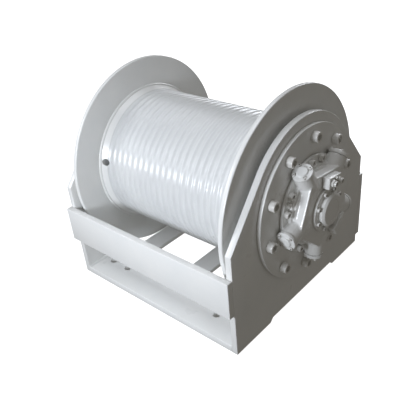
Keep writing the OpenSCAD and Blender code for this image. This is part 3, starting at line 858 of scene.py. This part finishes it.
@dataclass
class Motor:
    """Five-cylinder radial piston motor on its mounting flange, with valves and ports."""

    palette: Palette
    first_arm: float = 48.0
    face_x: float = 280 * MM
    flange_t: float = 9 * MM
    arm_x: float = 304 * MM
    arm_top: float = 122 * MM
    arm_r: float = 22 * MM
    end_x: float = 324 * MM
    cover_rim_h: float = 8 * MM
    cover_screw_reach: float = 13.2 * MM
    valve_flange_r: float = 54 * MM
    valve_flange_t: float = 7 * MM
    valve_body_r: float = 40 * MM
    valve_orbit: float = 47 * MM
    block_x: float = 324.5 * MM
    block_r: float = 56 * MM
    port_deg: float = 84.0
    port_size: tuple[float, float, float] = (26 * MM, 50 * MM, 18 * MM)
    port_y: float = 12 * MM
    port_r: float = 7.5 * MM
    valve_deg: float = 300.0
    valve_size: tuple[float, float, float] = (24 * MM, 36 * MM, 18 * MM)
    plug_deg: float = 156.0
    mounting_orbit: float = 158 * MM
    casing_orbit: float = 106.5 * MM
    mounting: ScrewSize = ScrewSize(12 * MM, 16 * MM, 14 * MM)
    casing: ScrewSize = ScrewSize(8 * MM, 10 * MM, 8 * MM)
    small: ScrewSize = ScrewSize(5 * MM, 6 * MM, 5 * MM, segments=24)
    port_screw: ScrewSize = ScrewSize(4.25 * MM, 5 * MM, 4 * MM, segments=24)
    cover_screw: ScrewSize = ScrewSize(3.5 * MM, 4 * MM, 3 * MM, segments=20)
    voxel: float = 1.3 * MM

    @property
    def arms(self) -> list[float]:
        """Angles of the five cylinders in degrees."""
        return [self.first_arm + 72 * i for i in range(5)]

    def mounting_flange(self) -> None:
        """Turn the brake housing's mounting flange with a stepped face."""
        low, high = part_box("brake_housing")
        plate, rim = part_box("motor_side_plate"), (high.y - low.y) / 2
        bm = lathe([
            (100 * MM, low.x), (118 * MM, low.x), (118 * MM, plate[0].x - 4 * MM),
            (142 * MM, plate[0].x - 4 * MM), (142 * MM, plate[1].x), (rim, plate[1].x),
            (rim, high.x), (30 * MM, high.x), (30 * MM, high.x - 12 * MM), (100 * MM, 236 * MM),
        ], 1.0 * MM, 144)
        bm.transform(axial(0))
        finish_piece("mounting_flange", bm, self.palette.enamel, Slot.ENAMEL, Body.FRAME, "brake_housing")

    def casting(self) -> None:
        """Cast the motor casing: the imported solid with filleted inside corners."""
        source = frame["nodes"]["motor_casing"]
        bm = bmesh.new()
        bm.from_mesh(source.data)
        bmesh.ops.remove_doubles(bm, verts=bm.verts[:], dist=1e-6)
        piece = finish_piece(
            "cast_casing", bm, self.palette.enamel, Slot.ENAMEL, Body.FRAME, "motor_casing", smooth=80
        )
        remesh = piece.modifiers.new("skin", "REMESH")
        remesh.mode, remesh.voxel_size = "VOXEL", self.voxel
        melt = piece.modifiers.new("melt", "CORRECTIVE_SMOOTH")
        melt.use_only_smooth, melt.iterations, melt.factor = True, 8, 0.6
        bake_modifiers(piece)
        piece.data.polygons.foreach_set("use_smooth", [True] * len(piece.data.polygons))

    def cover(self, number: int) -> None:
        """Build one cylinder cover with its raised middle."""
        name = f"cylinder_cover_{number + 1}"
        rim = self.arm_r + 1 * MM
        bm = lathe([
            (0, 0), (rim, 0), (rim, self.cover_rim_h), (14 * MM, self.cover_rim_h),
            (12 * MM, 12 * MM), (0, 12 * MM),
        ], 1.1 * MM, 64, closed=False)
        bm.transform(outward(self.arm_x, self.arm_top, self.arms[number]))
        finish_piece(f"{name}_skin", bm, self.palette.enamel, Slot.ENAMEL, Body.FRAME, name)

    def cover_screw_places(self) -> list[Matrix]:
        """Return where the cover screws' heads stand."""
        reach, height = self.cover_screw_reach, self.arm_top + self.cover_rim_h
        return [
            outward(self.arm_x, height, a) @ Matrix.Translation((sx * reach, sy * reach, 0))
            for a in self.arms for sx in (-1, 1) for sy in (-1, 1)
        ]

    def fasteners(self) -> None:
        """Build every group of screws."""
        groups = {
            "mounting_screws": (self.mounting, [
                polar(self.face_x, self.mounting_orbit, 84 + 36 * i) for i in range(10)]),
            "casing_screws": (self.casing, [
                polar(self.face_x + self.flange_t, self.casing_orbit, a + 36 + s * 11)
                for a in self.arms for s in (-1, 1)]),
            "cover_screws": (self.cover_screw, self.cover_screw_places()),
            "valve_screws": (self.small, [
                polar(self.end_x + self.valve_flange_t, self.valve_orbit, 22.5 + 45 * i)
                for i in range(8)]),
        }
        for name, (size, places) in groups.items():
            bm = copies(size.socket_head, places)
            finish_piece(f"{name}_heads", bm, self.palette.fastener, Slot.FASTENER, Body.FRAME, name)

    def valve_housing(self) -> None:
        """Turn the valve housing with its flange and rounded nose."""
        nose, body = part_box("valve_housing")[1].x, self.valve_body_r
        step = self.end_x + self.valve_flange_t
        bm = lathe([
            (0, self.end_x), (self.valve_flange_r, self.end_x), (self.valve_flange_r, step),
            (body + 1 * MM, step), (body, step + 1 * MM), (body, nose - 5 * MM),
            (body - 5 * MM, nose), (25 * MM, nose), (24 * MM, nose - 1.5 * MM), (0, nose - 1.5 * MM),
        ], 0.8 * MM, 96, closed=False)
        bm.transform(axial(0))
        finish_piece("valve_housing_skin", bm, self.palette.enamel, Slot.ENAMEL, Body.FRAME, "valve_housing")

    def ports(self) -> None:
        """Build the port block with its two connections and screws."""
        at_port = polar(self.block_x, self.block_r, self.port_deg)
        size = Vector(self.port_size)
        outline = [(0, -size.y / 2), (size.x, -size.y / 2), (size.x, size.y / 2), (0, size.y / 2)]
        holes = [(size.x / 2, y, self.port_r) for y in (-self.port_y, self.port_y)]
        bm = slab(outline, holes, size.z, 2.0 * MM)
        bm.transform(at_port)
        finish_piece("port_block_skin", bm, self.palette.enamel, Slot.ENAMEL, Body.FRAME, "port_block")
        nut = ScrewSize(9.2 * MM, 6 * MM, 15.9 * MM)
        thread, nipple, bore = self.port_r - 0.1 * MM, 6.5 * MM, 4 * MM
        parts = []
        for x, y, _ in holes:
            place = at_port @ Matrix.Translation((x, y, 0))
            parts.append((nut.hexagon(5.4 * MM), place @ Matrix.Translation((0, 0, size.z))))
            parts.append((lathe([
                (bore, size.z / 2), (thread, size.z / 2), (thread, size.z), (nipple, size.z + nut.head_h),
                (nipple, size.z + 11 * MM), (bore, size.z + 11 * MM),
            ], 0.5 * MM, 40), place))
        finish_piece("port_connections", gather(parts), self.palette.fastener, Slot.FASTENER,
                     Body.FRAME, "port_fittings")
        screws = copies(self.port_screw.socket_head, [
            at_port @ Matrix.Translation((x, 0, size.z)) for x in (5 * MM, size.x - 5 * MM)])
        finish_piece("port_block_screw_heads", screws, self.palette.fastener, Slot.FASTENER,
                     Body.FRAME, "port_block_screws")

    def small_fittings(self) -> None:
        """Build the counterbalance valve and the drain plug."""
        at_valve = polar(self.block_x, self.block_r, self.valve_deg)
        size = Vector(self.valve_size)
        body = block(size, 2.0 * MM)
        side = Matrix.Rotation(-math.pi / 2, 4, "X")
        cartridge = ScrewSize(5.5 * MM, 8 * MM, 9.4 * MM)
        collar = lathe([(0, 0), (7 * MM, 0), (7 * MM, 10 * MM), (0, 10 * MM)], 0.8 * MM, 40, closed=False)
        valve = gather([
            (body, at_valve @ Matrix.Translation((size.x / 2, -2 * MM, 0))),
            (collar, at_valve @ Matrix.Translation((size.x / 2, 16 * MM, size.z / 2)) @ side),
            (cartridge.hexagon(8 * MM),
             at_valve @ Matrix.Translation((size.x / 2, 26 * MM, size.z / 2)) @ side),
        ])
        finish_piece("counterbalance_block", valve, self.palette.enamel, Slot.ENAMEL,
                     Body.FRAME, "counterbalance_valve")
        at_plug = polar(self.face_x + self.flange_t, self.casing_orbit, self.plug_deg)
        washer = lathe([(0, 0), (7 * MM, 0), (7 * MM, 2 * MM), (0, 2 * MM)], 0.3 * MM, 40, closed=False)
        head = ScrewSize(7 * MM, 6 * MM, 10.2 * MM).hexagon(6 * MM)
        plug = gather([(washer, at_plug), (head, at_plug @ Matrix.Translation((0, 0, 2 * MM)))])
        finish_piece("drain_plug_head", plug, self.palette.fastener, Slot.FASTENER, Body.FRAME, "drain_plug")

    def build(self) -> None:
        """Build every visible piece of the motor."""
        self.mounting_flange()
        self.casting()
        for number in range(5):
            self.cover(number)
        self.valve_housing()
        self.ports()
        self.small_fittings()
        self.fasteners()


@dataclass
class BearingEnd:
    """Spindle flange, cap, screws and grease nipple on the side without the motor."""

    palette: Palette
    screw: ScrewSize = ScrewSize(9 * MM, 12 * MM, 10 * MM)

    def build(self) -> None:
        """Build every piece of the bearing end."""
        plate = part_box("bearing_side_plate")
        outer = -plate[0].x
        spindle_end = -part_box("bearing_spindle")[1].x
        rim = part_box("bearing_spindle")[1].y
        face = outer + 12 * MM
        bm = lathe([
            (0, spindle_end), (40 * MM, spindle_end), (40 * MM, -plate[1].x), (60 * MM, -plate[1].x),
            (60 * MM, outer), (rim, outer), (rim, face), (0, face),
        ], 1.4 * MM, 96, closed=False)
        bm.transform(bearing_side(axial(0)))
        finish_piece("spindle_flange", bm, self.palette.enamel, Slot.ENAMEL, Body.FRAME, "bearing_spindle")
        cap = lathe([
            (0, face), (46 * MM, face), (46 * MM, face + 6 * MM), (42 * MM, face + 9 * MM),
            (30 * MM, face + 9 * MM), (29 * MM, face + 7.8 * MM), (0, face + 7.8 * MM),
        ], 1.0 * MM, 72, closed=False)
        cap.transform(bearing_side(axial(0)))
        finish_piece("spindle_cap_skin", cap, self.palette.enamel, Slot.ENAMEL, Body.FRAME, "spindle_cap")
        heads = copies(self.screw.socket_head, [
            bearing_side(polar(face, 74 * MM, 22.5 + 45 * i)) for i in range(8)])
        finish_piece("spindle_screw_heads", heads, self.palette.fastener, Slot.FASTENER,
                     Body.FRAME, "spindle_screws")
        base = face + 7.8 * MM
        hexagon = ScrewSize(6.5 * MM, 4 * MM, 10 * MM).hexagon(4 * MM)
        nipple = lathe([
            (0, 4 * MM), (3 * MM, 4 * MM), (3 * MM, 8.5 * MM), (2.2 * MM, 9.5 * MM), (3.4 * MM, 11.5 * MM),
            (2.4 * MM, 13.4 * MM), (0, 13.4 * MM),
        ], 0.3 * MM, 32, closed=False)
        place = bearing_side(axial(base))
        finish_piece("grease_nipple_skin", gather([(hexagon, place), (nipple, place)]),
                     self.palette.steel, Slot.STEEL, Body.FRAME, "grease_nipple")


@dataclass
class Internals:
    """The pieces inside the drum and the motor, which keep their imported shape."""

    palette: Palette

    def build(self) -> None:
        """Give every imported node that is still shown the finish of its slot."""
        slots = {part["node"]: Slot(part["material_slot"]) for part in frame["record"]["subparts"]}
        for name, node in frame["nodes"].items():
            finish = self.palette.of(slots[name])
            node.data.materials.clear()
            node.data.materials.append(finish)
        LOG.info("internals: %d packed nodes dressed", len(frame["nodes"]))


# ---------------------------------------------------------------- studio


@dataclass
class Studio:
    """Pale floor, soft lights and the camera."""

    floor_colour: str = "f6f6f6"
    camera_place: tuple[float, float, float] = (0.850, -0.926, 0.921)
    azimuth: float = 43.54
    elevation: float = 31.42
    roll: float = -5.31
    lens_mm: float = 47.0
    floor_half: float = 14.0
    floor_glow: float = 1.05

    def floor(self) -> None:
        """Lay the floor."""
        bm = bmesh.new()
        bmesh.ops.create_grid(bm, x_segments=4, y_segments=4, size=self.floor_half)
        mesh = bpy.data.meshes.new("floor")
        bm.to_mesh(mesh)
        bm.free()
        material, tree, shader = new_shader("floor_paper")
        shader.inputs["Base Color"].default_value = linear(self.floor_colour)
        shader.inputs["Roughness"].default_value = 0.8
        shader.inputs["Emission Color"].default_value = linear(self.floor_colour)
        shader.inputs["Emission Strength"].default_value = self.floor_glow
        mesh.materials.append(material)
        floor = bpy.data.objects.new("floor", mesh)
        floor.location.z = -0.0005
        floor.visible_diffuse = False
        floor.visible_glossy = False
        bpy.context.scene.collection.objects.link(floor)

    def lamp(self, name: str, place: tuple[float, float, float], target: tuple[float, float, float],
             size: float, power: float, colour: str = "f4f8ff") -> None:
        """Hang a square soft light.

        Args:
            name: Name of the light.
            place: Where it hangs.
            target: What it points at.
            size: Side of the light.
            power: Power in watts.
            colour: sRGB hex colour.
        """
        light = bpy.data.lights.new(name, "AREA")
        light.shape, light.size, light.energy = "SQUARE", size, power
        light.color = linear(colour)[:3]
        lamp = bpy.data.objects.new(name, light)
        lamp.location = place
        ahead = Vector(target) - Vector(place)
        lamp.rotation_mode = "QUATERNION"
        lamp.rotation_quaternion = ahead.to_track_quat("-Z", "Y")
        bpy.context.scene.collection.objects.link(lamp)

    def world(self, colour: str, strength: float) -> None:
        """Fill the surroundings with even light."""
        world = bpy.data.worlds.new("studio")
        bpy.context.scene.world = world
        world.use_nodes = True
        background = world.node_tree.nodes["Background"]
        background.inputs["Color"].default_value = linear(colour)
        background.inputs["Strength"].default_value = strength

    def camera(self) -> None:
        """Set up the camera."""
        data = bpy.data.cameras.new("camera")
        data.lens, data.sensor_width = self.lens_mm, 36.0
        data.clip_start, data.clip_end = 0.05, 50.0
        camera = bpy.data.objects.new("camera", data)
        camera.location = self.camera_place
        a, e = math.radians(self.azimuth), math.radians(self.elevation)
        ahead = Vector((-math.sin(a) * math.cos(e), math.cos(a) * math.cos(e), -math.sin(e)))
        camera.rotation_mode = "QUATERNION"
        roll = Matrix.Rotation(math.radians(self.roll), 3, "Z").to_quaternion()
        camera.rotation_quaternion = ahead.to_track_quat("-Z", "Y") @ roll
        bpy.context.scene.collection.objects.link(camera)
        bpy.context.scene.camera = camera

    def build(self) -> None:
        """Build the whole studio."""
        self.camera()
        self.floor()
        self.lamp("key", (-1.7, -2.0, 1.6), (-0.4, 0.0, 0.25), 1.0, 18.0)
        self.lamp("front_fill", (0.08, -1.5, 0.6), (-0.1, 0.0, 0.3), 0.3, 14.0, "f0f6ff")
        self.lamp("overhead", (-0.3, 0.2, 2.3), (-0.3, 0.2, 0.0), 1.5, 14.0)
        self.lamp("rear_fill", (-0.2, 2.2, 1.5), (-0.1, 0.0, 0.3), 0.8, 16.0)
        self.world("fff9ee", 0.15)
        bpy.context.scene.view_settings.view_transform = "Standard"


def main() -> None:
    """Build the studio and the windlass."""
    palette = Palette.build()
    Studio().build()
    for assembly in (WeldedFrame(palette), Drum(palette), Motor(palette), BearingEnd(palette),
                     Internals(palette)):
        assembly.build()


if __name__ == "__main__":
    main()
